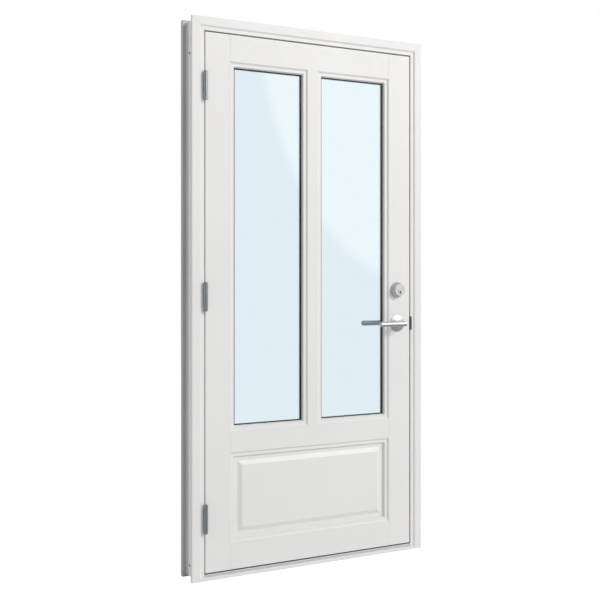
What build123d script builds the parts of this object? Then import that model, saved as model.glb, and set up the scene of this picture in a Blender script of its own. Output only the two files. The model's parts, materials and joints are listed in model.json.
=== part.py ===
from build123d import *
import math
import os

# Outswing impact entry door: half-glazed leaf in a four-sided flange frame.
# Millimetres. Outside is -Y, up is +Z, the hinges are at -X.
# The origin is the bottom centre of the front flange's back face.

# Door leaf
leaf_width = 914.4
leaf_height = 2032.0
leaf_thickness = 44.45
stile_width = 101.5
mullion_width = 46.0
bottom_rail_height = 101.5
panel_opening_height = 343.0
middle_rail_height = 80.0
top_rail_height = 102.0
lock_edge_bevel = 2.33
joint_groove = 0.7
sweep_recess = 6.0
sweep_inset = 5.0

# Gaps round the leaf
side_gap = 5.2
sill_gap = 5.0
sill_deck_height = 22.5

# Frame section, measured inwards from its outer edge and back from the wall face
flange_flat = 31.0
flange_chamfer = 6.5
flange_chamfer_depth = 5.0
inner_face_width = 12.8
flange_thickness = 14.0
leaf_setback = 7.0
channel_depth = 12.0
channel_back = 84.0
channel_groove_front = 56.0
channel_groove_width = 2.0
channel_groove_depth = 2.0
frame_back = 102.0
stop_projection = 14.2
stop_clearance = 6.05
anchor_hole_radius = 4.75
anchor_hole_back = 43.0
anchor_hole_from_bottom = 51.0
anchor_hole_from_top = 132.0
anchor_hole_depth = 22.0

# Sill
nose_height = 12.0
nose_round = 1.5
cap_thickness = 5.0
cap_lip = 3.0
bumper_rise = 14.0
bumper_bevel = 6.0
rib_count = 6
rib_spacing = 6.5
rib_groove = 2.0
rib_groove_depth = 1.0

# Seals
seal_gap = 0.3
seal_width = 8.0
seal_inset = 4.0
kerf_width = 3.0
kerf_depth = 7.0
kerf_clearance = 0.05

# Glazing and panel mouldings, the same inside and out
bead_chamfer = 6.2
bead_chamfer_depth = 5.2
bead_flat = 10.5
bead_slope = 4.0
glazing_recess = 14.6
glazing_unit_thickness = 22.0
gasket_lip = 3.0
gasket_thickness = 1.6
gasket_inset = 4.0
outer_pane = 7.0
inner_pane = 4.0
panel_flat = 15.0
panel_bevel = 16.7
panel_rise = 8.2

# Hinges
pin_ahead_of_leaf = 11.0
knuckle_radius = 7.6
pin_radius = 5.0
running_clearance = 0.05
hinge_length = 101.6
knuckle_gap = 0.4
hinge_leaf_thickness = 3.4
hinge_leaf_reach = 31.0
pin_tip_height = 4.0
pin_tip_radius = 6.6
hinge_from_leaf_top = 202.5
hinge_from_leaf_bottom = 205.5
middle_hinge_rise = 20.0

# Lock hardware
backset = 60.3
lever_above_leaf_bottom = 917.5
lever_to_deadbolt = 139.0
lock_bore_radius = 27.0
rose_radius = 34.0
rose_rim = 3.0
rose_depth = 10.0
rose_front_radius = 14.0
rose_crown = 80.0
neck_radius = 9.0
lever_radius = 10.4
lever_standoff = 52.0
lever_heel = 11.0
lever_length = 114.0
lever_end_chamfer = 1.5
spindle_side = 8.0
socket_depth = 15.0
spindle_end_gap = 1.0
collar_radius = 32.0
collar_rim = 3.0
collar_front_radius = 24.0
collar_depth = 25.0
collar_crown = 90.0
plug_radius = 8.5
plug_drop = 6.0
plug_proud = 1.0
keyway_width = 2.4
keyway_height = 10.0
keyway_depth = 9.0
plug_tail = 6.0
turn_rose_depth = 8.0
turn_standoff = 5.0
turn_crown = 25.0
turn_length = 38.0
turn_width = 12.0
turn_depth = 20.0
turn_shaft_radius = 6.0
faceplate_width = 25.4
faceplate_height = 57.0
faceplate_thickness = 2.4
bolt_radius = 11.0
bolt_case_depth = 26.0
bolt_end_proud = 0.8
strike_thickness = 1.6
strike_lip_width = 6.0
strike_lip_height = 55.0
strike_plate_width = 28.0
tailpiece_width = 6.0
tailpiece_thickness = 2.5
tailpiece_gap = 0.1
tailpiece_reach = 6.0

# Places worked out from the sizes above
rabbet_depth = flange_flat + flange_chamfer + inner_face_width
stop_depth = rabbet_depth + stop_projection
half_leaf = leaf_width / 2
half_opening = half_leaf + side_gap
half_frame = half_opening + rabbet_depth
half_stop = half_frame - stop_depth
leaf_bottom = sill_deck_height + sill_gap
leaf_top = leaf_bottom + leaf_height
frame_top = leaf_top + side_gap + rabbet_depth
flange_front = -flange_thickness
inner_face_front = flange_front + flange_chamfer_depth
leaf_front = flange_front + leaf_setback
leaf_back = leaf_front + leaf_thickness
leaf_middle = (leaf_front + leaf_back) / 2
stop_front = leaf_back + stop_clearance
glazing_front = leaf_front + glazing_recess
glazing_back = glazing_front + glazing_unit_thickness
panel_back = leaf_back - glazing_recess
bead_width = bead_chamfer + bead_flat + bead_slope
panel_bottom = leaf_bottom + bottom_rail_height
panel_top = panel_bottom + panel_opening_height
lite_bottom = panel_top + middle_rail_height
lite_top = leaf_top - top_rail_height
half_inside = half_leaf - stile_width
lite_width = half_inside - mullion_width / 2
lite_centre = mullion_width / 2 + lite_width / 2
hinge_x = -half_leaf - side_gap / 2
hinge_y = leaf_front - pin_ahead_of_leaf
lock_x = half_leaf - backset
lever_z = leaf_bottom + lever_above_leaf_bottom
deadbolt_z = lever_z + lever_to_deadbolt
turn_z = deadbolt_z - plug_drop
top_hinge_z = leaf_top - hinge_from_leaf_top
bottom_hinge_z = leaf_bottom + hinge_from_leaf_bottom
hinge_heights = {
    "top": top_hinge_z,
    "middle": (top_hinge_z + bottom_hinge_z) / 2 + middle_hinge_rise,
    "bottom": bottom_hinge_z,
}

strike_back = leaf_middle + strike_plate_width / 2
strikes = (
    ("latch_strike", lever_z, inner_face_front),
    ("deadbolt_strike", deadbolt_z, leaf_middle - strike_plate_width / 2),
)

frame_section = [
    (0, flange_front),
    (flange_flat, flange_front),
    (flange_flat + flange_chamfer, inner_face_front),
    (rabbet_depth, inner_face_front),
    (rabbet_depth, stop_front),
    (stop_depth, stop_front),
    (stop_depth, frame_back),
    (0, frame_back),
    (0, channel_back),
    (channel_depth, channel_back),
    (channel_depth, channel_groove_front + channel_groove_width),
    (channel_depth + channel_groove_depth, channel_groove_front + channel_groove_width),
    (channel_depth + channel_groove_depth, channel_groove_front),
    (channel_depth, channel_groove_front),
    (channel_depth, 0),
    (0, 0),
]


def upright(y):
    """Plane facing the outside at depth y: sketch in x and z, extrude towards -Y."""
    return Plane.XZ.offset(-y)


def save(piece, name):
    """Give a finished piece its name and write it to its own file."""
    piece.part.label = name
    export_step(piece.part, f"parts/{name}.step")


def slab(x_low, x_high, y_low, y_high, z_low, z_high, mode=Mode.ADD):
    """Add or cut a plain rectangular body between these limits."""
    with BuildSketch(upright(y_high)) as outline:
        with Locations(((x_low + x_high) / 2, (z_low + z_high) / 2)):
            Rectangle(x_high - x_low, z_high - z_low)
    extrude(outline.sketch, amount=y_high - y_low, mode=mode)


def cut_mitre(side, corner_x, corner_z, reach, of_head):
    """Trim an upright, or a head, along the 45 degree line of a top corner."""
    if of_head:
        waste_corner = (side * corner_x, corner_z - reach)
    else:
        waste_corner = (side * (corner_x - reach), corner_z)
    with BuildSketch(Plane.XZ) as waste:
        with BuildLine():
            Polyline([
                (side * corner_x, corner_z),
                (side * (corner_x - reach), corner_z - reach),
                waste_corner,
            ], close=True)
        make_face()
    extrude(waste.sketch, amount=2 * frame_back, both=True, mode=Mode.SUBTRACT)


def cut_kerf(seal_x, low, high):
    """Cut the upright groove that holds a side seal in the stop."""
    slab(seal_x - kerf_width / 2, seal_x + kerf_width / 2, stop_front, stop_front + kerf_depth,
         low, high, mode=Mode.SUBTRACT)


def frame_leaf_pocket(z):
    """Cut the seat of a hinge's frame leaf in the rabbet."""
    slab(-half_opening - hinge_leaf_thickness, -half_opening, inner_face_front,
         leaf_front + hinge_leaf_reach, z - hinge_length / 2, z + hinge_length / 2,
         mode=Mode.SUBTRACT)


def knuckles(z, numbers, bore):
    """Add the numbered knuckles of one hinge, from the bottom, bored for the pin or solid."""
    pitch = hinge_length / 5
    for number in numbers:
        low = z - hinge_length / 2 + number * pitch + knuckle_gap / 2
        with BuildSketch(Plane.XY.offset(low)) as barrel:
            with Locations((hinge_x, hinge_y)):
                Circle(knuckle_radius)
        extrude(barrel.sketch, amount=pitch - knuckle_gap)
        if bore:
            with BuildSketch(Plane.XY.offset(low)) as pin_hole:
                with Locations((hinge_x, hinge_y)):
                    Circle(pin_radius + running_clearance)
            extrude(pin_hole.sketch, amount=pitch - knuckle_gap, mode=Mode.SUBTRACT)


# Side jambs: the frame section run upwards, mitred to the head and cut under for the sill
seal_middle = half_leaf - seal_inset + seal_inset / 2 - seal_width / 2

for side, name in ((-1, "hinge_jamb"), (1, "lock_jamb")):
    with BuildPart() as jamb:
        with BuildSketch(Plane.XY):
            with BuildLine():
                Polyline([(side * (half_frame - u), y) for u, y in frame_section], close=True)
            make_face()
        extrude(amount=frame_top)
        cut_mitre(side, half_frame, frame_top, stop_depth, of_head=False)
        outer, inner = sorted((side * (half_frame + 1), side * (half_frame - stop_depth - 1)))
        slab(outer, inner, 0, channel_back, 0, nose_height, mode=Mode.SUBTRACT)
        seat, opening = sorted((side * (half_frame - flange_flat), side * half_opening))
        slab(seat, opening, flange_front, 0, 0, nose_height, mode=Mode.SUBTRACT)
        cut_kerf(side * seal_middle, sill_deck_height + bumper_rise, frame_top - rabbet_depth)
        for z in (anchor_hole_from_bottom, frame_top - anchor_hole_from_top):
            with BuildSketch(Plane.YZ.offset(side * half_frame)):
                with Locations((anchor_hole_back, z)):
                    Circle(anchor_hole_radius)
            extrude(amount=-side * (channel_depth + anchor_hole_depth), mode=Mode.SUBTRACT)
        if side < 0:
            for z in hinge_heights.values():
                frame_leaf_pocket(z)
        else:
            for _, z, strike_front in strikes:
                half_plate = faceplate_height / 2
                slab(half_opening, half_opening + strike_thickness, strike_front,
                     strike_back, z - half_plate, z + half_plate, mode=Mode.SUBTRACT)
                with BuildSketch(Plane.YZ.offset(half_opening)):
                    with Locations((leaf_middle, z)):
                        Circle(bolt_radius + 1)
                extrude(amount=20, mode=Mode.SUBTRACT)
    save(jamb, name)

with BuildPart() as head_jamb:
    with BuildSketch(Plane.YZ):
        with BuildLine():
            Polyline([(y, frame_top - u) for u, y in frame_section], close=True)
        make_face()
    extrude(amount=half_frame, both=True)
    for side in (-1, 1):
        cut_mitre(side, half_frame, frame_top, stop_depth, of_head=True)
    head_seal_z = frame_top - half_frame + seal_middle
    slab(-half_leaf, half_leaf, stop_front, stop_front + kerf_depth,
         head_seal_z - kerf_width / 2, head_seal_z + kerf_width / 2, mode=Mode.SUBTRACT)
save(head_jamb, "head_jamb")

# Sill: white base with a nose, and the metal cap that forms the deck and the bumper
cap_bottom = sill_deck_height - cap_thickness
riser_back = inner_face_front + cap_lip
bumper_top = sill_deck_height + bumper_rise
rib_middle = (stop_front + kerf_depth + frame_back - bumper_bevel) / 2

with BuildPart() as sill_base:
    with BuildSketch(Plane.YZ):
        with BuildLine():
            Polyline([
                (flange_front + nose_round, 0),
                (0, 0),
                (0, nose_height),
                (channel_back, nose_height),
                (channel_back, 0),
                (frame_back, 0),
                (frame_back, cap_bottom),
                (riser_back, cap_bottom),
                (riser_back, nose_height),
                (flange_front + nose_round, nose_height),
                (flange_front, nose_height - nose_round),
                (flange_front, nose_round),
            ], close=True)
        make_face()
    extrude(amount=half_stop, both=True)
    for side in (-1, 1):
        nose = sorted((side * half_stop, side * (half_frame - flange_flat)))
        slab(nose[0], nose[1], flange_front, 0, 0, nose_height)
        body = sorted((side * half_stop, side * half_opening))
        slab(body[0], body[1], 0, stop_front, nose_height, cap_bottom)
        slab(body[0], body[1], riser_back, 0, nose_height, cap_bottom)
save(sill_base, "sill_base")

seal_centre_z = bumper_top - seal_width / 2
with BuildPart() as threshold_cap:
    with BuildSketch(Plane.YZ):
        with BuildLine():
            Polyline([
                (inner_face_front, nose_height),
                (riser_back, nose_height),
                (riser_back, cap_bottom),
                (frame_back, cap_bottom),
                (frame_back, bumper_top - bumper_bevel),
                (frame_back - bumper_bevel, bumper_top),
                (stop_front, bumper_top),
                (stop_front, sill_deck_height),
                (inner_face_front + nose_round, sill_deck_height),
                (inner_face_front, sill_deck_height - nose_round),
            ], close=True)
        make_face()
    extrude(amount=half_stop, both=True)
    for side in (-1, 1):
        body = sorted((side * half_stop, side * half_opening))
        slab(body[0], body[1], riser_back, stop_front, cap_bottom, sill_deck_height)
        slab(body[0], body[1], inner_face_front, riser_back, nose_height, sill_deck_height)
    slab(-half_stop, half_stop, stop_front, stop_front + kerf_depth,
         seal_centre_z - kerf_width / 2, seal_centre_z + kerf_width / 2, mode=Mode.SUBTRACT)
    for number in range(rib_count):
        rib_y = rib_middle + (number - (rib_count - 1) / 2) * rib_spacing
        slab(-half_stop, half_stop, rib_y - rib_groove / 2, rib_y + rib_groove / 2,
             bumper_top - rib_groove_depth, bumper_top, mode=Mode.SUBTRACT)
save(threshold_cap, "threshold_cap")

# Seals: a bulb ahead of the stop with its tongue in the kerf
bulb_front = leaf_back + seal_gap
tongue_half = kerf_width / 2 - kerf_clearance
bulb_half = seal_width / 2


def seal_outline(across):
    """Bulb and tongue of a seal, as points of (across, y) round its middle line."""
    return [
        (across - tongue_half, stop_front + kerf_depth - 1),
        (across - tongue_half, stop_front),
        (across - bulb_half, stop_front),
        (across - bulb_half, bulb_front + 2),
        (across - bulb_half + 2, bulb_front),
        (across + bulb_half - 2, bulb_front),
        (across + bulb_half, bulb_front + 2),
        (across + bulb_half, stop_front),
        (across + tongue_half, stop_front),
        (across + tongue_half, stop_front + kerf_depth - 1),
    ]


for side, name in ((-1, "weatherstrip_hinge_side"), (1, "weatherstrip_lock_side")):
    with BuildPart() as strip:
        with BuildSketch(Plane.XY.offset(seal_centre_z + bulb_half)):
            with BuildLine():
                Polyline(seal_outline(side * seal_middle), close=True)
            make_face()
        extrude(amount=head_seal_z - seal_centre_z)
        cut_mitre(side, seal_middle + bulb_half, head_seal_z + bulb_half, seal_width, of_head=False)
    save(strip, name)

with BuildPart() as weatherstrip_head:
    with BuildSketch(Plane.YZ):
        with BuildLine():
            Polyline([(y, z) for z, y in seal_outline(head_seal_z)], close=True)
        make_face()
    extrude(amount=seal_middle + bulb_half, both=True)
    for side in (-1, 1):
        cut_mitre(side, seal_middle + bulb_half, head_seal_z + bulb_half, seal_width, of_head=True)
save(weatherstrip_head, "weatherstrip_head")

with BuildPart() as sill_seal:
    with BuildSketch(Plane.YZ):
        with BuildLine():
            Polyline([(y, z) for z, y in seal_outline(seal_centre_z)], close=True)
        make_face()
    extrude(amount=half_stop, both=True)
save(sill_seal, "sill_seal")

# Stiles, rails and mullion
edge_tilt = math.degrees(math.atan2(lock_edge_bevel, leaf_thickness))
edge_middle_x = half_leaf - lock_edge_bevel / 2
tilt = math.radians(edge_tilt)
edge_out = (math.cos(tilt), math.sin(tilt), 0)
edge_along = (-math.sin(tilt), math.cos(tilt), 0)


def edge_plane(z):
    """Plane lying on the bevelled lock edge at height z, facing out of the edge."""
    return Plane(origin=(edge_middle_x, leaf_middle, z), x_dir=edge_along, z_dir=edge_out)


def soften_joint(x):
    """Cut the fine groove where a stile meets the rails, on both faces."""
    side = math.copysign(1, x)
    for face_y, inward in ((leaf_front, 1), (leaf_back, -1)):
        with BuildSketch(Plane.XY.offset(leaf_bottom)) as groove:
            with BuildLine():
                Polyline([
                    (x, face_y),
                    (x + side * joint_groove, face_y),
                    (x, face_y + inward * joint_groove),
                ], close=True)
            make_face()
        extrude(groove.sketch, amount=leaf_height, mode=Mode.SUBTRACT)


def cut_sweep_seat():
    """Cut the part of the sweep's groove that lies in this piece's bottom edge."""
    slab(-half_leaf + sweep_inset, half_leaf - sweep_inset, leaf_front + sweep_inset,
         leaf_back - sweep_inset, leaf_bottom, leaf_bottom + sweep_recess, mode=Mode.SUBTRACT)


with BuildPart() as hinge_stile:
    slab(-half_leaf, -half_inside, leaf_front, leaf_back, leaf_bottom, leaf_top)
    for z in hinge_heights.values():
        slab(-half_leaf, -half_leaf + hinge_leaf_thickness, leaf_front,
             leaf_front + hinge_leaf_reach, z - hinge_length / 2, z + hinge_length / 2,
             mode=Mode.SUBTRACT)
    soften_joint(-half_inside)
    cut_sweep_seat()
save(hinge_stile, "hinge_stile")

with BuildPart() as lock_stile:
    with BuildSketch(Plane.XY.offset(leaf_bottom)):
        with BuildLine():
            Polyline([
                (half_inside, leaf_front),
                (half_leaf, leaf_front),
                (half_leaf - lock_edge_bevel, leaf_back),
                (half_inside, leaf_back),
            ], close=True)
        make_face()
    extrude(amount=leaf_height)
    with BuildSketch(upright(leaf_back)):
        with Locations((lock_x, lever_z), (lock_x, deadbolt_z)):
            Circle(lock_bore_radius)
    extrude(amount=leaf_thickness, mode=Mode.SUBTRACT)
    for z in (lever_z, deadbolt_z):
        with BuildSketch(edge_plane(z)):
            Rectangle(faceplate_width, faceplate_height)
        extrude(amount=-faceplate_thickness, mode=Mode.SUBTRACT)
        with BuildSketch(edge_plane(z)):
            Circle(bolt_radius)
        extrude(amount=-backset + lock_bore_radius / 2, mode=Mode.SUBTRACT)
    soften_joint(half_inside)
    cut_sweep_seat()
save(lock_stile, "lock_stile")

for name, low, high in (
    ("bottom_rail", leaf_bottom, panel_bottom),
    ("middle_rail", panel_top, lite_bottom),
    ("top_rail", lite_top, leaf_top),
):
    with BuildPart() as rail:
        slab(-half_inside, half_inside, leaf_front, leaf_back, low, high)
        if low == leaf_bottom:
            cut_sweep_seat()
    save(rail, name)

with BuildPart() as mullion:
    slab(-mullion_width / 2, mullion_width / 2, leaf_front, leaf_back, lite_bottom, lite_top)
save(mullion, "mullion")

with BuildPart() as door_sweep:
    slab(-half_leaf + sweep_inset, half_leaf - sweep_inset, leaf_front + sweep_inset,
         leaf_back - sweep_inset, leaf_bottom, leaf_bottom + sweep_recess)
save(door_sweep, "door_sweep")

# Mouldings: one section swept round an opening, mitred at the corners
def bead_section(face_y, inward, seat_y):
    """Section of a moulding from the leaf's face to its seat, as points of (y, inset)."""
    step_y = face_y + inward * bead_chamfer_depth
    return [
        (face_y, 0),
        (step_y, bead_chamfer),
        (step_y, bead_chamfer + bead_flat),
        (seat_y, bead_width),
        (seat_y, 0),
    ]


outer_bead = bead_section(leaf_front, 1, glazing_front)
inner_lite_bead = bead_section(leaf_back, -1, glazing_back)
inner_panel_bead = bead_section(leaf_back, -1, panel_back)


def bead_ring(name, x_low, x_high, z_low, z_high, points):
    """Moulding round an opening: the section swept along its edge."""
    middle = (x_low + x_high) / 2
    with BuildPart() as ring:
        with BuildLine() as path:
            Polyline([
                (middle, 0, z_low),
                (x_high, 0, z_low),
                (x_high, 0, z_high),
                (x_low, 0, z_high),
                (x_low, 0, z_low),
            ], close=True)
        section_plane = Plane(origin=(middle, 0, z_low), x_dir=(0, 1, 0), z_dir=(1, 0, 0))
        with BuildSketch(section_plane):
            with BuildLine():
                Polyline(points, close=True)
            make_face()
        sweep(path=path.wires()[0], transition=Transition.RIGHT)
    save(ring, name)


lite_sides = (("left", -lite_centre), ("right", lite_centre))
half_lite = lite_width / 2
for side_name, centre in lite_sides:
    for face, section in (("outer", outer_bead), ("inner", inner_lite_bead)):
        bead_ring(f"glazing_bead_{face}_{side_name}", centre - half_lite, centre + half_lite,
                  lite_bottom, lite_top, section)

for face, section in (("outer", outer_bead), ("inner", inner_panel_bead)):
    bead_ring(f"panel_bead_{face}", -half_inside, half_inside, panel_bottom, panel_top, section)

# Insulating glass in its channel gasket, with the spacer between the panes' edges
glass_inset = gasket_inset + gasket_thickness
glass_front = glazing_front + gasket_thickness
glass_back = glazing_back - gasket_thickness
lip_end = bead_width + gasket_lip
spacer_front = glass_front + outer_pane
spacer_back = glass_back - inner_pane


def glazing_slab(centre, inset, y_low, y_high, mode=Mode.ADD):
    """Add or cut a body that fills one lite's opening up to this inset."""
    slab(centre - half_lite + inset, centre + half_lite - inset, y_low, y_high,
         lite_bottom + inset, lite_top - inset, mode=mode)


def glass_body(centre, mode=Mode.ADD):
    """Both panes as one body, with the spacer's groove round the edge."""
    glazing_slab(centre, lip_end, spacer_front, spacer_back, mode=mode)
    glazing_slab(centre, glass_inset, glass_front, spacer_front, mode=mode)
    glazing_slab(centre, glass_inset, spacer_back, glass_back, mode=mode)


for side_name, centre in lite_sides:
    with BuildPart() as gasket:
        glazing_slab(centre, gasket_inset, glazing_front, glazing_back)
        glazing_slab(centre, lip_end, glazing_front, glazing_back, mode=Mode.SUBTRACT)
        glass_body(centre, mode=Mode.SUBTRACT)
    save(gasket, f"glazing_gasket_{side_name}")
    with BuildPart() as glass:
        glass_body(centre)
    save(glass, f"glass_{side_name}")

# Raised panel, with a fielded centre on both faces
panel_width = 2 * half_inside
panel_centre_z = (panel_bottom + panel_top) / 2
field_edge = bead_width + panel_flat
with BuildPart() as raised_panel:
    slab(-half_inside + gasket_inset, half_inside - gasket_inset, glazing_front, panel_back,
         panel_bottom + gasket_inset, panel_top - gasket_inset)
    for base, rise in ((glazing_front, -panel_rise), (panel_back, panel_rise)):
        for y, inset in ((base, field_edge), (base + rise, field_edge + panel_bevel)):
            with BuildSketch(upright(y)):
                with Locations((0, panel_centre_z)):
                    Rectangle(panel_width - 2 * inset, panel_opening_height - 2 * inset)
        loft(ruled=True)
save(raised_panel, "raised_panel")

# Hinges: three knuckles and the pin on the frame leaf, two bored knuckles on the door leaf
knuckle_pitch = hinge_length / 5
wrap_y = hinge_y + knuckle_radius / 2

for place, z in hinge_heights.items():
    low = z - hinge_length / 2
    high = z + hinge_length / 2
    with BuildPart() as frame_leaf:
        slab(-half_opening - hinge_leaf_thickness, -half_opening, inner_face_front,
             leaf_front + hinge_leaf_reach, low, high)
        for number in (0, 2, 4):
            start = low + number * knuckle_pitch
            slab(-half_opening - hinge_leaf_thickness, -half_opening, wrap_y,
                 inner_face_front, start + knuckle_gap / 2,
                 start + knuckle_pitch - knuckle_gap / 2)
        knuckles(z, (0, 2, 4), bore=False)
        with BuildSketch(Plane.XY.offset(low)):
            with Locations((hinge_x, hinge_y)):
                Circle(pin_radius)
        extrude(amount=hinge_length)
        with BuildSketch(Plane.XY.offset(low - pin_tip_height)):
            with Locations((hinge_x, hinge_y)):
                Circle(pin_tip_radius)
        extrude(amount=pin_tip_height + knuckle_gap / 2)
        with BuildSketch(Plane.XY.offset(high - knuckle_gap / 2)):
            with Locations((hinge_x, hinge_y)):
                Circle(pin_tip_radius)
        extrude(amount=pin_tip_height + knuckle_gap / 2)
    save(frame_leaf, f"hinge_frame_leaf_{place}")
    with BuildPart() as door_leaf:
        slab(-half_leaf, -half_leaf + hinge_leaf_thickness, leaf_front,
             leaf_front + hinge_leaf_reach, low, high)
        for number in (1, 3):
            start = low + number * knuckle_pitch
            slab(-half_leaf, -half_leaf + hinge_leaf_thickness, wrap_y,
                 leaf_front, start + knuckle_gap / 2,
                 start + knuckle_pitch - knuckle_gap / 2)
        knuckles(z, (1, 3), bore=True)
    save(door_leaf, f"hinge_door_leaf_{place}")

# Strikes in the lock jamb, the latch one with a lip wrapped over the frame's face
for name, z, strike_front in strikes:
    with BuildPart() as strike:
        half_plate = faceplate_height / 2
        slab(half_opening, half_opening + strike_thickness, strike_front, strike_back,
             z - half_plate, z + half_plate)
        if strike_front == inner_face_front:
            half_lip = strike_lip_height / 2
            slab(half_opening, half_opening + strike_lip_width,
                 inner_face_front - strike_thickness, inner_face_front,
                 z - half_lip, z + half_lip)
        with BuildSketch(Plane.YZ.offset(half_opening)):
            with Locations((leaf_middle, z)):
                Circle(bolt_radius)
        extrude(amount=strike_thickness, mode=Mode.SUBTRACT)
    save(strike, name)

# Faceplates in the bevelled edge, each with its retracted bolt end and case
for name, z in (("latch_faceplate", lever_z), ("deadbolt_faceplate", deadbolt_z)):
    with BuildPart() as faceplate:
        with BuildSketch(edge_plane(z)):
            Rectangle(faceplate_width, faceplate_height)
        extrude(amount=-faceplate_thickness)
        with BuildSketch(edge_plane(z)):
            Circle(bolt_radius)
        extrude(amount=-bolt_case_depth)
        with BuildSketch(edge_plane(z)):
            Circle(bolt_radius - 2)
        extrude(amount=bolt_end_proud)
    save(faceplate, name)


def domed(x, z, bore, rim_radius, front_radius, seat, rim_y, front_y, crown):
    """Turned body about the line through x and z along Y, with a crowned flank."""
    with BuildSketch(Plane(origin=(x, 0, z), x_dir=(1, 0, 0), z_dir=(0, 0, 1))) as profile:
        with BuildLine():
            Polyline((front_radius, front_y), (bore, front_y), (bore, seat),
                     (rim_radius, seat), (rim_radius, rim_y))
            RadiusArc((rim_radius, rim_y), (front_radius, front_y), crown)
        make_face()
    revolve(profile.sketch, axis=Axis((x, 0, z), (0, 1, 0)))


# Lever set: roses on the leaf, the two levers and their spindle turn together
neck_bore = neck_radius + running_clearance
for name, seat, out in (
    ("lever_rose_outer", leaf_front, -1),
    ("lever_rose_inner", leaf_back, 1),
):
    with BuildPart() as rose:
        domed(lock_x, lever_z, neck_bore, rose_radius, rose_front_radius, seat,
              seat + out * rose_rim, seat + out * rose_depth, out * rose_crown)
    save(rose, name)


def lever(seat, out):
    """Round neck out of the rose and the straight round bar across its end."""
    axis_y = seat + out * lever_standoff
    with BuildSketch(upright(seat)) as neck:
        with Locations((lock_x, lever_z)):
            Circle(neck_radius)
    extrude(neck.sketch, amount=-out * lever_standoff)
    with BuildSketch(Plane.YZ.offset(lock_x - lever_length)) as bar:
        with Locations((axis_y, lever_z)):
            Circle(lever_radius)
    extrude(bar.sketch, amount=lever_length + lever_heel)


def soften_bar_ends(piece):
    """Take the sharpness off both ends of a finished lever's bar."""
    ends = piece.faces().filter_by(Axis.X).sort_by(Axis.X)
    chamfer(ends[0].edges() + ends[-1].edges(), lever_end_chamfer)


with BuildPart() as lever_outer:
    lever(leaf_front, -1)
    soften_bar_ends(lever_outer)
    socket = spindle_side + 2 * running_clearance
    slab(lock_x - socket / 2, lock_x + socket / 2, leaf_front - socket_depth, leaf_front,
         lever_z - socket / 2, lever_z + socket / 2, mode=Mode.SUBTRACT)
save(lever_outer, "lever_outer")

with BuildPart() as lever_inner:
    lever(leaf_back, 1)
    soften_bar_ends(lever_inner)
    slab(lock_x - spindle_side / 2, lock_x + spindle_side / 2,
         leaf_front - socket_depth + spindle_end_gap, leaf_back,
         lever_z - spindle_side / 2, lever_z + spindle_side / 2)
save(lever_inner, "lever_inner")

# Deadbolt: collar and inner rose on the leaf, key plug and thumbturn on one tailpiece
plug_bore = plug_radius + running_clearance
with BuildPart() as deadbolt_collar:
    domed(lock_x, deadbolt_z, 0, collar_radius, collar_front_radius, leaf_front,
          leaf_front - collar_rim, leaf_front - collar_depth, -collar_crown)
    with BuildSketch(upright(leaf_front)):
        with Locations((lock_x, turn_z)):
            Circle(plug_bore)
    extrude(amount=collar_depth, mode=Mode.SUBTRACT)
save(deadbolt_collar, "deadbolt_collar")

with BuildPart() as thumbturn_rose:
    domed(lock_x, turn_z, turn_shaft_radius + running_clearance, collar_radius,
          collar_front_radius, leaf_back, leaf_back + collar_rim,
          leaf_back + turn_rose_depth, turn_crown)
save(thumbturn_rose, "thumbturn_rose")

with BuildPart() as key_plug:
    with BuildSketch(upright(leaf_front + plug_tail)):
        with Locations((lock_x, turn_z)):
            Circle(plug_radius)
    extrude(amount=plug_tail + collar_depth + plug_proud)
    slab(lock_x - tailpiece_thickness / 2, lock_x + tailpiece_thickness / 2,
         leaf_front + plug_tail, leaf_back + tailpiece_reach,
         turn_z - tailpiece_width / 2, turn_z + tailpiece_width / 2)
    slab(lock_x - keyway_width / 2, lock_x + keyway_width / 2,
         leaf_front - collar_depth - plug_proud,
         leaf_front - collar_depth - plug_proud + keyway_depth,
         turn_z - plug_radius, turn_z - plug_radius + keyway_height, mode=Mode.SUBTRACT)
save(key_plug, "key_plug")

thumbturn_front = leaf_back + turn_rose_depth + turn_standoff
slot_half_width = tailpiece_width / 2 + tailpiece_gap
slot_half_thickness = tailpiece_thickness / 2 + tailpiece_gap
with BuildPart() as thumbturn:
    with BuildSketch(upright(leaf_back + 1)):
        with Locations((lock_x, turn_z)):
            Circle(turn_shaft_radius)
    extrude(amount=-(turn_rose_depth + turn_standoff))
    with BuildSketch(upright(thumbturn_front)):
        with Locations((lock_x, turn_z)):
            SlotOverall(turn_length, turn_width, rotation=90)
    extrude(amount=-turn_depth)
    slab(lock_x - slot_half_thickness, lock_x + slot_half_thickness, leaf_back + 1,
         leaf_back + tailpiece_reach + tailpiece_gap, turn_z - slot_half_width,
         turn_z + slot_half_width, mode=Mode.SUBTRACT)
save(thumbturn, "thumbturn")
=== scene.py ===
"""Looks of the entry door: its finish, its fine pieces, the stage, the light and the camera."""

import json
import math

import bmesh
import bpy
from mathutils import Matrix, Vector


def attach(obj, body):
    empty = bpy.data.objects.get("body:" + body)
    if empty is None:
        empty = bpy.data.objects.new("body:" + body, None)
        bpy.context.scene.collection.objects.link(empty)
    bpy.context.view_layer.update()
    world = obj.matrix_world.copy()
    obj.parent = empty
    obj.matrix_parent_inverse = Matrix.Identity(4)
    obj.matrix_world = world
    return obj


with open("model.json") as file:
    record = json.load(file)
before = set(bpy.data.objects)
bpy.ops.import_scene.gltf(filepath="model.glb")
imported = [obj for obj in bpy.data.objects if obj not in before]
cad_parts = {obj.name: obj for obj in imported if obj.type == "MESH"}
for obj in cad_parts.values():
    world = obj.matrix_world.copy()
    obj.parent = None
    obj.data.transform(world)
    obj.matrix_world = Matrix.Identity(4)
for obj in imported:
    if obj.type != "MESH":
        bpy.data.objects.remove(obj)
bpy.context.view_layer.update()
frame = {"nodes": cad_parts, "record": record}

MM = 0.001

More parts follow.
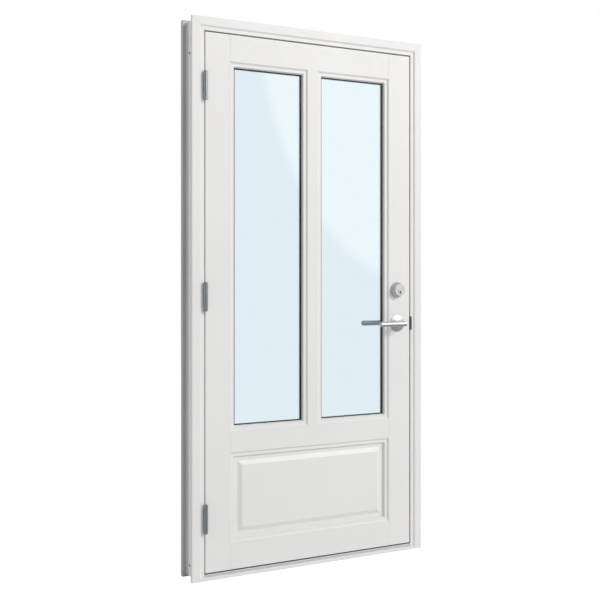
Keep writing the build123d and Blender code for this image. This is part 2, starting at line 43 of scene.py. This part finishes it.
# Places of the model in millimetres, as the CAD part has them: the frame
HALF_FRAME = 512.7
FRAME_TOP = 2115.0
HALF_OPENING = 462.4
FLANGE_FLAT = 31.0
FLANGE_FRONT = -14.0
INNER_FACE_START = 37.5
INNER_FACE_FRONT = -9.0
RABBET = HALF_FRAME - HALF_OPENING
NOSE_HEIGHT = 12.0
DECK_TOP = 22.5
ANCHOR_HEIGHTS = (51.0, FRAME_TOP - 132.0)
ANCHOR_DEPTH = 43.0

# The leaf, its hinges and its lites
HALF_LEAF = 457.2
LEAF_FRONT = -7.0
LEAF_BACK = 37.45
LEAF_MIDDLE = (LEAF_FRONT + LEAF_BACK) / 2
EDGE_BEVEL = 2.33
EDGE_TILT = math.atan2(EDGE_BEVEL, LEAF_BACK - LEAF_FRONT)
HINGE_HEIGHTS = (233.0, 1065.0, 1857.0)
LITE_CENTRE = 189.35
HALF_LITE = 166.35
LITE_BOTTOM = 552.0
LITE_TOP = 1957.5
SPACER_INSET = 23.7
SPACER_FRONT = 16.2
SPACER_BACK = 24.0

# The lock: middles of the latch and the deadbolt, and the key plug in its collar
LOCK_HEIGHTS = (945.0, 1084.0)
LOCK_X = 396.9
PLUG_CENTRE = 1078.0
PLUG_FACE = -33.0
COLLAR_FACE = -32.0

# Fine pieces: lengths in millimetres, and how many of each
HINGE_SCREW_RADIUS = 4.4
HINGE_SCREW_SPOTS = ((2.0, 38.0), (2.0, -38.0), (15.0, 16.0), (15.0, -16.0))
LOCK_SCREW_RADIUS = 3.8
LOCK_SCREW_RISE = 22.0
DECK_SCREW_RADIUS = 4.2
DECK_SCREW_DEPTH = 22.0
DECK_SCREW_PITCH = 160.0
DECK_SCREW_COUNT = 6
SCREW_SIDES = 24
SCREW_RISE = 0.22
SEAM_LIFT = 0.06
SEAM_START = 1.0
MITRE_SEAM_WIDTH = 0.6
NOSE_SEAM_WIDTH = 0.9
NOSE_SEAM_BOTTOM = 0.5
NOSE_TOP_SEAM_WIDTH = 0.5
# Painted shade in the anchor holes: a dark sleeve's radius, sides, and how far in from the frame's
# outside it starts and ends
ANCHOR_SHADE_RADIUS = 4.7
ANCHOR_SHADE_SIDES = 20
ANCHOR_SHADE_MOUTH = 12.2
ANCHOR_SHADE_END = 33.6
LOCK_LINE_LIFT = 0.05
PLUG_GAP_OUTER = 9.9
PLUG_GAP_INNER = 8.6
PLUG_GAP_SIDES = 40

# Painted shade of the keyway, a dark ring round its mouth and a sleeve down it: half its width,
# then its bottom and top as measured from the plug's middle
KEYWAY_MOUTH = (2.5, -7.9, 2.2)
KEYWAY_LIP = (1.15, -7.8, 1.45)
KEYWAY_END = (1.1, -7.7, 1.4)
KEYWAY_DEPTH = 8.9

# Painted shade on the frame's outer side: a darker tone behind this depth, on a rim of this width
PAINTED_SHADE_DEPTH = 57.0
PAINTED_SHADE_RIM = 14.5

# Part of a noise's range that is spread over two colours or two numbers
NOISE_LOW = 0.3
NOISE_HIGH = 0.7

# Radii over which the finish and the metals round off their edges, in metres
PAINT_EDGE = 0.0011
METAL_EDGE = 0.0006

# Stage: the world's fill light, the floor's glow with its share to the camera, half the floor's
# width in metres, and the faded rim of the round lamp as a share of its width
FILL_STRENGTH = 0.45
FLOOR_GLOW = 1.14
GLOW_SHARE = 0.85
FLOOR_REACH = 14.0
LAMP_RIM = 0.025

# Camera, fitted to the photograph's corners: lens and shifts in pixels of the photograph
CAMERA_PLACE = (-1.9474, -3.6321, 1.1502)
CAMERA_TURN = -29.742
PHOTO_SIZE = 600
LENS = 1036.8
SHIFT_SIDEWAYS = -40.0
SHIFT_UP = -26.0
SENSOR = 36.0


# Shader helpers

def new_material(name):
    """Empty node material: returns it with its nodes, links and Principled shader."""
    made = bpy.data.materials.new(name)
    made.use_nodes = True
    nodes = made.node_tree.nodes
    return made, nodes, made.node_tree.links, nodes["Principled BSDF"]


def noise(nodes, links, scale, detail=3.0, stretch=(1, 1, 1)):
    """Noise texture fixed to the object, with its own stretch along the axes."""
    where = nodes.new("ShaderNodeTexCoord")
    mapping = nodes.new("ShaderNodeMapping")
    mapping.inputs["Scale"].default_value = stretch
    texture = nodes.new("ShaderNodeTexNoise")
    texture.inputs["Scale"].default_value = scale
    texture.inputs["Detail"].default_value = detail
    links.new(where.outputs["Object"], mapping.inputs["Vector"])
    links.new(mapping.outputs["Vector"], texture.inputs["Vector"])
    return texture.outputs["Fac"]


def spread(nodes, links, factor, low, high):
    """Map a noise onto a range of plain numbers."""
    ranged = nodes.new("ShaderNodeMapRange")
    ranged.inputs["From Min"].default_value = NOISE_LOW
    ranged.inputs["From Max"].default_value = NOISE_HIGH
    ranged.inputs["To Min"].default_value = low
    ranged.inputs["To Max"].default_value = high
    links.new(factor, ranged.inputs["Value"])
    return ranged.outputs["Result"]


def two_tone(nodes, links, factor, dark, light):
    """Blend two colours by a noise."""
    ramp = nodes.new("ShaderNodeValToRGB")
    first, last = ramp.color_ramp.elements
    first.position = NOISE_LOW
    first.color = (*dark, 1)
    last.position = NOISE_HIGH
    last.color = (*light, 1)
    links.new(factor, ramp.inputs["Fac"])
    return ramp.outputs["Color"]


def maths(nodes, links, operation, first, second):
    """Math node on a socket and either a second socket or a plain number."""
    node = nodes.new("ShaderNodeMath")
    node.operation = operation
    links.new(first, node.inputs[0])
    if isinstance(second, float):
        node.inputs[1].default_value = second
    else:
        links.new(second, node.inputs[1])
    return node.outputs[0]


def mix_shaders(nodes, links, factor, first, second):
    """Go from the first shader to the second as the factor goes from 0 to 1."""
    blend = nodes.new("ShaderNodeMixShader")
    links.new(factor, blend.inputs["Fac"])
    links.new(first, blend.inputs[1])
    links.new(second, blend.inputs[2])
    return blend.outputs[0]


def surface_relief(nodes, links, shader, height, strength, distance, edge_radius=0.0):
    """Fine relief on the shader's normal, over edges softened by edge_radius."""
    bump = nodes.new("ShaderNodeBump")
    bump.inputs["Strength"].default_value = strength
    bump.inputs["Distance"].default_value = distance
    links.new(height, bump.inputs["Height"])
    if edge_radius:
        soft = nodes.new("ShaderNodeBevel")
        soft.samples = 4
        soft.inputs["Radius"].default_value = edge_radius
        links.new(soft.outputs["Normal"], bump.inputs["Normal"])
    links.new(bump.outputs["Normal"], shader.inputs["Normal"])


def painted_shade_band(nodes, links):
    """Factor that is 1 on the outer back band of the frame, which gets a darker tone as painted
    shade.
    """
    where = nodes.new("ShaderNodeTexCoord")
    parts = nodes.new("ShaderNodeSeparateXYZ")
    links.new(where.outputs["Object"], parts.inputs["Vector"])
    sideways = maths(nodes, links, "ABSOLUTE", parts.outputs["X"], 0.0)
    at_side = maths(nodes, links, "GREATER_THAN", sideways, (HALF_FRAME - PAINTED_SHADE_RIM) * MM)
    at_top = maths(nodes, links, "GREATER_THAN", parts.outputs["Z"], (FRAME_TOP - PAINTED_SHADE_RIM) * MM)
    at_back = maths(nodes, links, "GREATER_THAN", parts.outputs["Y"], PAINTED_SHADE_DEPTH * MM)
    rim = maths(nodes, links, "MAXIMUM", at_side, at_top)
    return maths(nodes, links, "MULTIPLY", rim, at_back)


# Materials

def paint_material():
    """White factory finish with faint orange peel and soft edges, and a darker tone painted as
    shade on the frame's outer back band.
    """
    made, nodes, links, shader = new_material("white_finish")
    tone = noise(nodes, links, 2.2)
    finish = two_tone(nodes, links, tone, (0.80, 0.795, 0.79), (0.83, 0.825, 0.82))
    # Darker copy of the white, painted on as the shade in the frame's outer channel
    painted_shade_tone = two_tone(nodes, links, tone, (0.50, 0.505, 0.505), (0.54, 0.545, 0.545))
    blend = nodes.new("ShaderNodeMix")
    blend.data_type = "RGBA"
    # The node has a set of sockets for each type of data: these are the ones for colours
    factor, first, second = (blend.inputs[place] for place in (0, 6, 7))
    links.new(painted_shade_band(nodes, links), factor)
    links.new(finish, first)
    links.new(painted_shade_tone, second)
    links.new(blend.outputs[2], shader.inputs["Base Color"])
    sheen = noise(nodes, links, 14.0)
    links.new(spread(nodes, links, sheen, 0.36, 0.46), shader.inputs["Roughness"])
    shader.inputs["Specular IOR Level"].default_value = 0.32
    peel = noise(nodes, links, 420.0, detail=1.0)
    surface_relief(nodes, links, shader, peel, strength=0.10, distance=0.0004,
                   edge_radius=PAINT_EDGE)
    return made


def glass_material():
    """Clear laminated glass with a pale blue body and faint smears."""
    made, nodes, links, shader = new_material("laminated_glass")
    shader.inputs["Base Color"].default_value = (0.767, 0.870, 0.926, 1)
    shader.inputs["Transmission Weight"].default_value = 1.0
    shader.inputs["IOR"].default_value = 1.5
    smear = noise(nodes, links, 3.0)
    links.new(spread(nodes, links, smear, 0.0, 0.012), shader.inputs["Roughness"])
    return made


def rubber_material():
    """Black seal rubber, matt, with a fine grain."""
    made, nodes, links, shader = new_material("seal_black")
    grain = noise(nodes, links, 160.0)
    links.new(two_tone(nodes, links, grain, (0.010, 0.010, 0.011), (0.022, 0.022, 0.023)),
              shader.inputs["Base Color"])
    links.new(spread(nodes, links, grain, 0.55, 0.75), shader.inputs["Roughness"])
    surface_relief(nodes, links, shader, grain, strength=0.3, distance=0.0003)
    return made


def seam_material():
    """Shadowed hairline of a joint in the white finish."""
    made, nodes, links, shader = new_material("seam_shade")
    dirt = noise(nodes, links, 30.0)
    links.new(two_tone(nodes, links, dirt, (0.36, 0.36, 0.36), (0.46, 0.46, 0.46)),
              shader.inputs["Base Color"])
    shader.inputs["Roughness"].default_value = 0.7
    return made


def brushed_metal(name, dark, light, rough, stretch, metal=1.0):
    """Metal with brushing drawn out along one axis by the stretch of its noise."""
    made, nodes, links, shader = new_material(name)
    brushing = noise(nodes, links, 60.0, detail=4.0, stretch=stretch)
    links.new(two_tone(nodes, links, brushing, dark, light), shader.inputs["Base Color"])
    links.new(spread(nodes, links, brushing, *rough), shader.inputs["Roughness"])
    shader.inputs["Metallic"].default_value = metal
    surface_relief(nodes, links, shader, brushing, strength=0.12, distance=0.0002,
                   edge_radius=METAL_EDGE)
    return made


materials = {
    "white_paint": paint_material(),
    "glass": glass_material(),
    "seal_rubber": rubber_material(),
    "threshold_metal": brushed_metal("mill_aluminium", (0.58, 0.585, 0.59), (0.72, 0.725, 0.73),
                                     rough=(0.35, 0.5), stretch=(1, 30, 30), metal=0.45),
    "hinge_steel": brushed_metal("hinge_satin", (0.29, 0.33, 0.35), (0.37, 0.41, 0.43),
                                 rough=(0.28, 0.4), stretch=(12, 12, 1)),
    # Darker copy of the satin steel, painted as the shade of the narrow gap the strikes sit in
    "strike_steel_shaded": brushed_metal("strike_satin_shaded", (0.15, 0.18, 0.19), (0.21, 0.24, 0.25),
                                  rough=(0.34, 0.46), stretch=(12, 12, 1)),
    "satin_nickel": brushed_metal("satin_nickel", (0.50, 0.505, 0.51), (0.60, 0.605, 0.61),
                                  rough=(0.42, 0.50), stretch=(1, 10, 10)),
    "spacer_metal": brushed_metal("spacer_metal", (0.20, 0.24, 0.26), (0.26, 0.30, 0.32),
                                  rough=(0.4, 0.55), stretch=(1, 10, 1)),
    "seam_line": seam_material(),
}

slot_of = {row["node"]: row["material_slot"] for row in frame["record"]["subparts"]}
# Strikes take the darker, shaded copy of the steel; every other part takes its slot's finish
for node, piece in frame["nodes"].items():
    for entry in piece.material_slots:
        entry.material = materials["strike_steel_shaded" if "strike" in node else slot_of[node]]


# Mesh helpers

def new_object(name, mesh, material):
    """Turn a finished bmesh into an object of the scene."""
    data = bpy.data.meshes.new(name)
    mesh.to_mesh(data)
    mesh.free()
    data.materials.append(material)
    made = bpy.data.objects.new(name, data)
    bpy.context.collection.objects.link(made)
    return made


def new_piece(name, mesh, finish, body):
    """Turn a finished bmesh into a piece of the model that rides on a body."""
    piece = new_object(name, mesh, materials[finish])
    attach(piece, body)


def circle(radius, sides, centre=(0.0, 0.0)):
    """Points of a circle in its own plane."""
    turns = [2 * math.pi * side / sides for side in range(sides)]
    return [(centre[0] + radius * math.cos(turn), centre[1] + radius * math.sin(turn))
            for turn in turns]


def rectangle(left, right, low, high):
    """Corners of an upright rectangle, as (x, z) points."""
    return [(left, low), (right, low), (right, high), (left, high)]


def upright_ring(mesh, points, depth):
    """Vertices of an outline of (x, z) points, all at one depth."""
    return [mesh.verts.new(Vector((x, depth, z)) * MM) for x, z in points]


def join_rings(mesh, one, two):
    """Wall of faces between two closed rings that have as many vertices."""
    for index in range(len(one)):
        after = (index + 1) % len(one)
        mesh.faces.new((one[index], one[after], two[after], two[index]))


def ribbon(mesh, points, across, width):
    """Thin strip of the given width that follows a line of points."""
    side = Vector(across).normalized() * (width / 2)
    pairs = []
    for point in points:
        middle = Vector(point)
        pairs.append((mesh.verts.new((middle - side) * MM), mesh.verts.new((middle + side) * MM)))
    for one, two in zip(pairs, pairs[1:]):
        mesh.faces.new((one[0], two[0], two[1], one[1]))


def cross_outline(arm, half_slot):
    """Outline of a cross: one inner corner with its two tips, turned round four times."""
    corner = [(arm, half_slot), (half_slot, half_slot), (half_slot, arm)]
    outline = []
    for _ in range(4):
        outline += corner
        corner = [(-y, x) for x, y in corner]
    return outline


def screw_head(mesh, place, out, radius):
    """Flat countersunk head with a cross recess, set at place and facing out."""
    toward = Vector(out).normalized()
    turn = toward.to_track_quat("Z", "Y").to_matrix().to_4x4()
    seat = Matrix.Translation(Vector(place) * MM) @ turn
    rim = circle(radius, SCREW_SIDES)
    cross = cross_outline(arm=radius * 0.62, half_slot=radius * 0.13)
    recess = radius * 0.35

    def ring(points, height, shrink=1.0):
        return [mesh.verts.new(seat @ Vector((x * shrink * MM, y * shrink * MM, height * MM)))
                for x, y in points]

    low = ring(rim, 0.0)
    high = ring(rim, SCREW_RISE, shrink=0.94)
    mouth = ring(cross, SCREW_RISE)
    floor = ring(cross, SCREW_RISE - recess, shrink=0.6)
    join_rings(mesh, low, high)
    join_rings(mesh, mouth, floor)
    mesh.faces.new(floor)
    edges = []
    for loop in (high, mouth):
        for pair in zip(loop, loop[1:] + loop[:1]):
            edges.append(mesh.edges.get(pair) or mesh.edges.new(pair))
    bmesh.ops.triangle_fill(mesh, edges=edges, use_beauty=True, normal=toward)


def screws(name, places, radius, body, slot):
    """One piece that holds all the screw heads of a group."""
    mesh = bmesh.new()
    for place, out in places:
        screw_head(mesh, place, out, radius)
    bmesh.ops.recalc_face_normals(mesh, faces=mesh.faces)
    new_piece(name, mesh, slot, body)


# Fine pieces

def hinge_screws():
    """Four screws in each hinge leaf, on the rabbet and on the edge of the door."""
    on_frame = []
    on_leaf = []
    for height in HINGE_HEIGHTS:
        for depth, rise in HINGE_SCREW_SPOTS:
            on_frame.append(((-HALF_OPENING, depth, height + rise), (1, 0, 0)))
            on_leaf.append(((-HALF_LEAF, depth, height + rise), (-1, 0, 0)))
    screws("hinge_screws_frame", on_frame, HINGE_SCREW_RADIUS, "frame", "hinge_steel")
    screws("hinge_screws_leaf", on_leaf, HINGE_SCREW_RADIUS, "door_leaf", "hinge_steel")


def lock_screws():
    """Two screws in each strike, and two in each faceplate on the bevelled edge."""
    edge_out = (math.cos(EDGE_TILT), math.sin(EDGE_TILT), 0)
    edge_middle = HALF_LEAF - EDGE_BEVEL / 2
    on_strikes = []
    on_faceplates = []
    for height in LOCK_HEIGHTS:
        for rise in (-LOCK_SCREW_RISE, LOCK_SCREW_RISE):
            on_strikes.append(((HALF_OPENING, LEAF_MIDDLE, height + rise), (-1, 0, 0)))
            on_faceplates.append(((edge_middle, LEAF_MIDDLE, height + rise), edge_out))
    screws("strike_screws", on_strikes, LOCK_SCREW_RADIUS, "frame", "satin_nickel")
    screws("faceplate_screws", on_faceplates, LOCK_SCREW_RADIUS, "door_leaf", "satin_nickel")


def threshold_screws():
    """Row of screws in the metal deck, seen when the leaf is open."""
    first = -DECK_SCREW_PITCH * (DECK_SCREW_COUNT - 1) / 2
    row = [first + DECK_SCREW_PITCH * step for step in range(DECK_SCREW_COUNT)]
    on_deck = [((x, DECK_SCREW_DEPTH, DECK_TOP), (0, 0, 1)) for x in row]
    screws("threshold_screws", on_deck, DECK_SCREW_RADIUS, "frame", "satin_nickel")


def frame_seams():
    """Hairlines on the two mitres and where the sill's nose meets the jambs."""
    mesh = bmesh.new()
    flange = FLANGE_FRONT - SEAM_LIFT
    inner_face = INNER_FACE_FRONT - SEAM_LIFT
    steps = ((SEAM_START, flange), (FLANGE_FLAT, flange),
             (INNER_FACE_START, inner_face), (RABBET, inner_face))
    for side in (-1, 1):
        mitre = [(side * (HALF_FRAME - inward), depth, FRAME_TOP - inward)
                 for inward, depth in steps]
        ribbon(mesh, mitre, (1, 0, -side), MITRE_SEAM_WIDTH)
        seat = side * (HALF_FRAME - FLANGE_FLAT)
        upright = [(seat, flange, NOSE_SEAM_BOTTOM), (seat, flange, NOSE_HEIGHT)]
        ribbon(mesh, upright, (1, 0, 0), NOSE_SEAM_WIDTH)
        over_nose = [(seat, inner_face, NOSE_HEIGHT),
                     (side * HALF_OPENING, inner_face, NOSE_HEIGHT)]
        ribbon(mesh, over_nose, (0, 0, 1), NOSE_TOP_SEAM_WIDTH)
    new_piece("frame_seams", mesh, "seam_line", "frame")


def glass_spacers():
    """Inner wall of the metal spacer between the panes, run round each lite."""
    # Depth of each line of the wall, and how far it stands in from the spacer's seat
    profile = ((SPACER_FRONT + 0.2, 0.2), (SPACER_FRONT + 1.0, 0.5),
               (SPACER_BACK - 1.0, 0.5), (SPACER_BACK - 0.2, 0.2))
    mesh = bmesh.new()
    for centre in (-LITE_CENTRE, LITE_CENTRE):
        rings = []
        for depth, inward in profile:
            inset = SPACER_INSET + inward
            half = HALF_LITE - inset
            outline = rectangle(centre - half, centre + half, LITE_BOTTOM + inset, LITE_TOP - inset)
            rings.append(upright_ring(mesh, outline, depth))
        for one, two in zip(rings, rings[1:]):
            join_rings(mesh, one, two)
    new_piece("glass_spacers", mesh, "spacer_metal", "door_leaf")


def anchor_hole_shade():
    """Dark sleeves painted into the anchor holes as their shade, each open towards the outside of
    its jamb.
    """
    mesh = bmesh.new()
    for side in (-1, 1):
        for height in ANCHOR_HEIGHTS:
            outline = circle(ANCHOR_SHADE_RADIUS, ANCHOR_SHADE_SIDES, (ANCHOR_DEPTH, height))
            rings = []
            for inward in (ANCHOR_SHADE_MOUTH, ANCHOR_SHADE_END):
                x = side * (HALF_FRAME - inward)
                rings.append([mesh.verts.new(Vector((x, y, z)) * MM) for y, z in outline])
            mouth, end = rings
            join_rings(mesh, mouth, end)
            mesh.faces.new(end)
    # The black rubber finish stands in for the shade inside the holes
    new_piece("anchor_hole_painted_shade", mesh, "seal_rubber", "frame")


def cylinder_gap():
    """Dark gap round the key plug."""
    mesh = bmesh.new()
    rings = [upright_ring(mesh, circle(radius, PLUG_GAP_SIDES, (LOCK_X, PLUG_CENTRE)),
                          COLLAR_FACE - LOCK_LINE_LIFT)
             for radius in (PLUG_GAP_OUTER, PLUG_GAP_INNER)]
    join_rings(mesh, *rings)
    new_piece("cylinder_gap", mesh, "strike_steel_shaded", "door_leaf")


def keyway_painted_shade():
    """Dark ring round the keyway's mouth and a dark sleeve down the slot, painted as the keyway's
    shade.
    """
    mesh = bmesh.new()

    def slot_ring(slot, depth):
        half_width, low, high = slot
        outline = rectangle(LOCK_X - half_width, LOCK_X + half_width,
                            PLUG_CENTRE + low, PLUG_CENTRE + high)
        return upright_ring(mesh, outline, depth)

    face = PLUG_FACE - LOCK_LINE_LIFT
    join_rings(mesh, slot_ring(KEYWAY_MOUTH, face), slot_ring(KEYWAY_LIP, face))
    join_rings(mesh, slot_ring(KEYWAY_LIP, face), slot_ring(KEYWAY_END, face + KEYWAY_DEPTH))
    # The black rubber finish stands in for the shade in and round the keyway
    new_piece("keyway_painted_shade", mesh, "seal_rubber", "deadbolt_turn")


hinge_screws()
lock_screws()
threshold_screws()
frame_seams()
glass_spacers()
anchor_hole_shade()
cylinder_gap()
keyway_painted_shade()


# Stage: pale floor, white surround, soft studio light

def floor_material():
    """White to the camera with the shadow kept, and level with the world in metal and glass."""
    made, nodes, links, shader = new_material("floor_white")
    shader.inputs["Base Color"].default_value = (0.8, 0.8, 0.8, 1)
    shader.inputs["Roughness"].default_value = 0.9
    shader.inputs["Specular IOR Level"].default_value = 0.0
    glow = nodes.new("ShaderNodeEmission")
    glow.inputs["Strength"].default_value = FLOOR_GLOW
    rays = nodes.new("ShaderNodeLightPath")
    share = maths(nodes, links, "MULTIPLY", rays.outputs["Is Camera Ray"], GLOW_SHARE)
    lit = mix_shaders(nodes, links, share, shader.outputs[0], glow.outputs[0])
    level = nodes.new("ShaderNodeMapRange")
    level.inputs["To Min"].default_value = FILL_STRENGTH
    level.inputs["To Max"].default_value = 1.0
    plain = nodes.new("ShaderNodeEmission")
    links.new(rays.outputs["Is Transmission Ray"], level.inputs["Value"])
    links.new(level.outputs["Result"], plain.inputs["Strength"])
    mirrored = maths(nodes, links, "MAXIMUM", rays.outputs["Is Transmission Ray"],
                     rays.outputs["Is Glossy Ray"])
    surface = mix_shaders(nodes, links, mirrored, lit, plain.outputs[0])
    links.new(surface, nodes["Material Output"].inputs["Surface"])
    return made


def plain_stage():
    """Large flat floor for the door to stand on."""
    mesh = bmesh.new()
    corners = [mesh.verts.new((x * FLOOR_REACH, y * FLOOR_REACH, 0))
               for x, y in ((-1, -1), (1, -1), (1, 1), (-1, 1))]
    mesh.faces.new(corners)
    floor = new_object("floor", mesh, floor_material())


def white_surround():
    """World that is white to the camera and through glass, and a soft fill elsewhere."""
    world = bpy.data.worlds.new("surround")
    bpy.context.scene.world = world
    world.use_nodes = True
    nodes = world.node_tree.nodes
    links = world.node_tree.links
    fill = nodes["Background"]
    fill.inputs["Color"].default_value = (1.0, 0.995, 0.99, 1)
    fill.inputs["Strength"].default_value = FILL_STRENGTH
    white = nodes.new("ShaderNodeBackground")
    white.inputs["Color"].default_value = (1, 1, 1, 1)
    white.inputs["Strength"].default_value = 1.0
    rays = nodes.new("ShaderNodeLightPath")
    seen = maths(nodes, links, "MAXIMUM", rays.outputs["Is Camera Ray"],
                 rays.outputs["Is Transmission Ray"])
    surface = mix_shaders(nodes, links, seen, fill.outputs[0], white.outputs[0])
    links.new(surface, nodes["World Output"].inputs["Surface"])


def fade_edge(data):
    """Let a lamp's glow fall off over its outer rim, half its width from its middle."""
    data.use_nodes = True
    nodes = data.node_tree.nodes
    links = data.node_tree.links
    where = nodes.new("ShaderNodeNewGeometry")
    from_middle = nodes.new("ShaderNodeVectorMath")
    from_middle.operation = "DISTANCE"
    from_middle.inputs[1].default_value = (0.5, 0.5, 0.0)
    fade = nodes.new("ShaderNodeMapRange")
    fade.inputs["From Min"].default_value = 0.5
    fade.inputs["From Max"].default_value = 0.5 - LAMP_RIM
    links.new(where.outputs["Parametric"], from_middle.inputs[0])
    links.new(from_middle.outputs["Value"], fade.inputs["Value"])
    links.new(fade.outputs["Result"], nodes["Emission"].inputs["Strength"])


def soft_light(name, place, aim, size, power, reflected_only=False):
    """Square soft box aimed at a point, or one that is seen in reflections alone."""
    data = bpy.data.lights.new(name, "AREA")
    data.size = size
    data.energy = power
    lamp = bpy.data.objects.new(name, data)
    lamp.location = place
    lamp.rotation_euler = (Vector(aim) - Vector(place)).to_track_quat("-Z", "Y").to_euler()
    lamp.visible_diffuse = not reflected_only
    lamp.visible_transmission = False
    bpy.context.collection.objects.link(lamp)
    return lamp


def round_card(lamp, height, color):
    """Make a soft box an ellipse with a faded rim, which the panes mirror."""
    lamp.data.shape = "ELLIPSE"
    lamp.data.size_y = height
    lamp.data.color = color
    fade_edge(lamp.data)
    # Clear glass sends its reflections on as transmission rays
    lamp.visible_transmission = True


plain_stage()
white_surround()
soft_light("key", (9.6, -12.9, 9.4), aim=(0, 0, 0.9), size=7.3, power=1895)
soft_light("top", (0.3, -2.6, 4.8), aim=(0.3, -1.6, 0), size=3.2, power=9, reflected_only=True)
card = soft_light("card", (3.68, -4.53, 3.86), aim=(-1.95, 3.77, 1.75), size=3.37, power=57,
                  reflected_only=True)
round_card(card, height=5.9, color=(1.0, 0.94, 0.76))
soft_light("back", (1.5, 9.0, 4.5), aim=(0, 0, 1.1), size=4.5, power=260)
soft_light("side", (-9.0, 1.8, 2.6), aim=(-0.5, 0, 1.1), size=3.0, power=90)

# Camera: level, to the left of the door
camera_data = bpy.data.cameras.new("camera")
camera_data.sensor_width = SENSOR
camera_data.lens = LENS / PHOTO_SIZE * SENSOR
camera_data.shift_x = SHIFT_SIDEWAYS / PHOTO_SIZE
camera_data.shift_y = SHIFT_UP / PHOTO_SIZE
camera = bpy.data.objects.new("camera", camera_data)
camera.location = CAMERA_PLACE
camera.rotation_euler = (math.radians(90), 0, math.radians(CAMERA_TURN))
bpy.context.collection.objects.link(camera)
bpy.context.scene.camera = camera
bpy.context.scene.view_settings.view_transform = "Standard"
